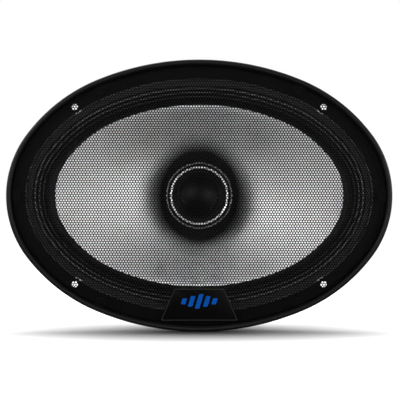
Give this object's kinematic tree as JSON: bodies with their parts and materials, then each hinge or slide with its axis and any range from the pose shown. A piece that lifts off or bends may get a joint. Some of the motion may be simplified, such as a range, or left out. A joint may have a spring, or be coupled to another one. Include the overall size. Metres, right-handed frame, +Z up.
{
  "type": "coaxial car speaker",
  "caption": "Oval coaxial car loudspeaker with a silver woven cone, a centre tweeter on a post, a ferrite motor in a pressed steel basket and a removable perforated grille.",
  "frame": {"origin": "middle of the basket flange's rear seating face, on the speaker's axis, level with the panel it bolts to", "axes": "+X along the oval's long axis, +Z up along its short axis, -Y out of the front towards the listener, +Y back along the motor"},
  "size_m": [0.254, 0.0938, 0.179],
  "materials": {
    "black_painted_steel": "satin black powder coat",
    "black_plastic": "fine-textured black moulding",
    "black_foam": "closed-cell black foam",
    "black_rubberised_cloth": "matt black coated cloth",
    "amber_cloth": "resin-stiffened woven cloth",
    "zinc_plated_steel": "zinc plated",
    "ferrite": "ground grey-black ferrite",
    "neodymium_nickel": "nickel plated",
    "brass_plated": "bright brass",
    "tinned_metal": "tinned",
    "copper_braid": "braided",
    "copper_wire": "enamelled",
    "blue_sleeve": "heat-shrunk sleeve",
    "red_insulation": "smooth insulation",
    "black_insulation": "smooth insulation",
    "silver_glass_fibre": "woven, coated, satin silver-grey",
    "brown_former": "varnished",
    "black_adhesive": "glossy bead",
    "polished_aluminium": "polished, turned",
    "black_silk": "coated silk",
    "grey_border": "printed line",
    "blue_emblem": "glossy blue"
  },
  "bodies": {
    "chassis": {"basket": "black_painted_steel", "grille_base_ring": "black_plastic", "surround_gasket": "black_foam", "surround": "black_rubberised_cloth", "spider": "amber_cloth", "top_plate": "zinc_plated_steel", "ferrite_magnet": "ferrite", "yoke": "zinc_plated_steel", "basket_screws": "zinc_plated_steel", "terminal_block": "black_plastic", "terminal_positive": "brass_plated", "terminal_negative": "tinned_metal", "terminal_rivets": "tinned_metal", "tinsel_lead_positive": "copper_braid", "tinsel_lead_negative": "copper_braid", "capacitor": "blue_sleeve", "capacitor_saddle": "black_plastic", "capacitor_lead": "tinned_metal", "tweeter_lead_positive": "red_insulation", "tweeter_lead_negative": "black_insulation", "tweeter_post": "brass_plated", "post_nut": "zinc_plated_steel", "tweeter_housing": "black_plastic", "tweeter_yoke": "zinc_plated_steel", "tweeter_magnet": "neodymium_nickel", "tweeter_pole_plate": "zinc_plated_steel", "tweeter_face_plate": "black_plastic", "tweeter_surround": "black_rubberised_cloth", "tweeter_trim_ring": "polished_aluminium", "tweeter_bezel": "black_plastic"},
    "cone_assembly": {"cone": "silver_glass_fibre", "voice_coil_former": "brown_former", "voice_coil_winding": "copper_wire", "neck_collar": "black_adhesive", "lead_eyelets": "tinned_metal"},
    "tweeter_dome_assembly": {"tweeter_dome": "black_silk", "tweeter_former": "brown_former", "tweeter_coil": "copper_wire"},
    "grille": {"grille_rim": "black_plastic", "grille_mesh": "black_painted_steel", "badge_plate": "black_plastic", "badge_border": "grey_border", "badge_emblem": "blue_emblem"}
  },
  "joints": [
    {"name": "cone_travel", "type": "slide", "parent": "chassis", "child": "cone_assembly", "axis": [0, -1, 0], "range_m": [-0.005, 0.005], "stiffness_N_per_m": 1500, "deforming": ["surround", "spider", "tinsel_lead_positive", "tinsel_lead_negative"]},
    {"name": "tweeter_dome_travel", "type": "slide", "parent": "chassis", "child": "tweeter_dome_assembly", "axis": [0, -1, 0], "range_m": [-0.0003, 0.0003], "stiffness_N_per_m": 50, "deforming": ["tweeter_surround"]},
    {"name": "grille_pull_off", "type": "slide", "parent": "chassis", "child": "grille", "axis": [0, -1, 0], "range_m": [0, 0.045]}
  ]
}
